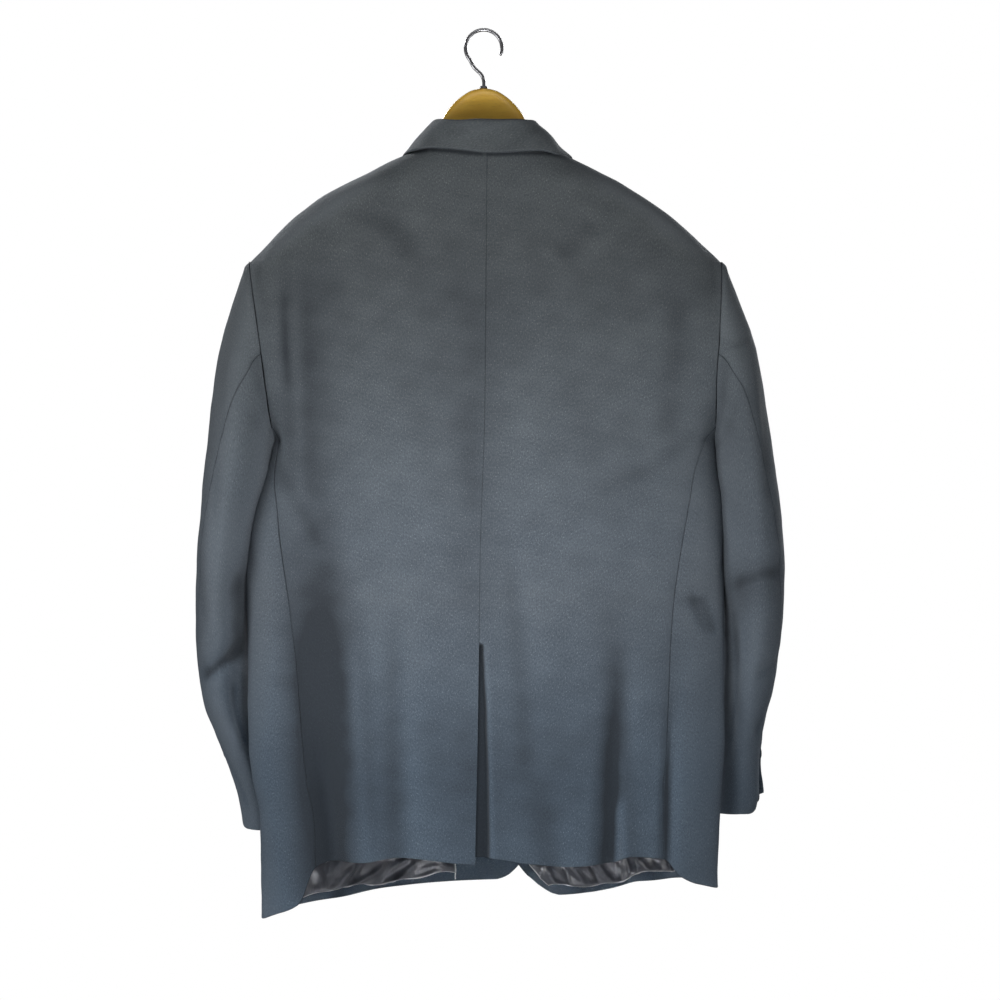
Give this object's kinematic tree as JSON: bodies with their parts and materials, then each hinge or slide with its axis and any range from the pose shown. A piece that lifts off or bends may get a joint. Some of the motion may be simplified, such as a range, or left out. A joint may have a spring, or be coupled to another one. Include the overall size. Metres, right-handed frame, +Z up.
{
  "type": "tailored sport coat on a wooden hanger",
  "caption": "Single-breasted tailored wool coat with notched lapels, set-in sleeves and a centre back vent, hanging buttoned on a curved wooden hanger by its wire hook.",
  "frame": {"origin": "the inner top of the hanger's hook, where the rail carries it", "axes": "+Z up, +Y out of the coat's back, -Y out of its front, +X to the wearer's left"},
  "size_m": [0.6498, 0.2446, 0.9777],
  "materials": {
    "wool": "heathered blue-grey wool, soft matt nap",
    "satin": "dark satin lining, low sheen",
    "horn": "dark horn, half gloss",
    "varnished_wood": "golden varnish",
    "brushed_steel": "bright drawn wire"
  },
  "bodies": {
    "root": {"back_left": "wool", "back_right": "wool", "side_panel_left": "wool", "side_panel_right": "wool", "front_left": "wool", "front_right": "wool", "lapel_left": "wool", "lapel_right": "wool", "collar": "wool", "top_sleeve_left": "wool", "top_sleeve_right": "wool", "under_sleeve_left": "wool", "under_sleeve_right": "wool", "pocket_flap_left": "wool", "pocket_flap_right": "wool", "breast_welt": "wool", "lining_left": "satin", "lining_right": "satin", "front_button_1": "horn", "front_button_2": "horn", "sleeve_button_left_1": "horn", "sleeve_button_left_2": "horn", "sleeve_button_left_3": "horn", "sleeve_button_left_4": "horn", "sleeve_button_right_1": "horn", "sleeve_button_right_2": "horn", "sleeve_button_right_3": "horn", "sleeve_button_right_4": "horn", "hanger": "varnished_wood", "hook": "brushed_steel"}
  },
  "joints": []
}
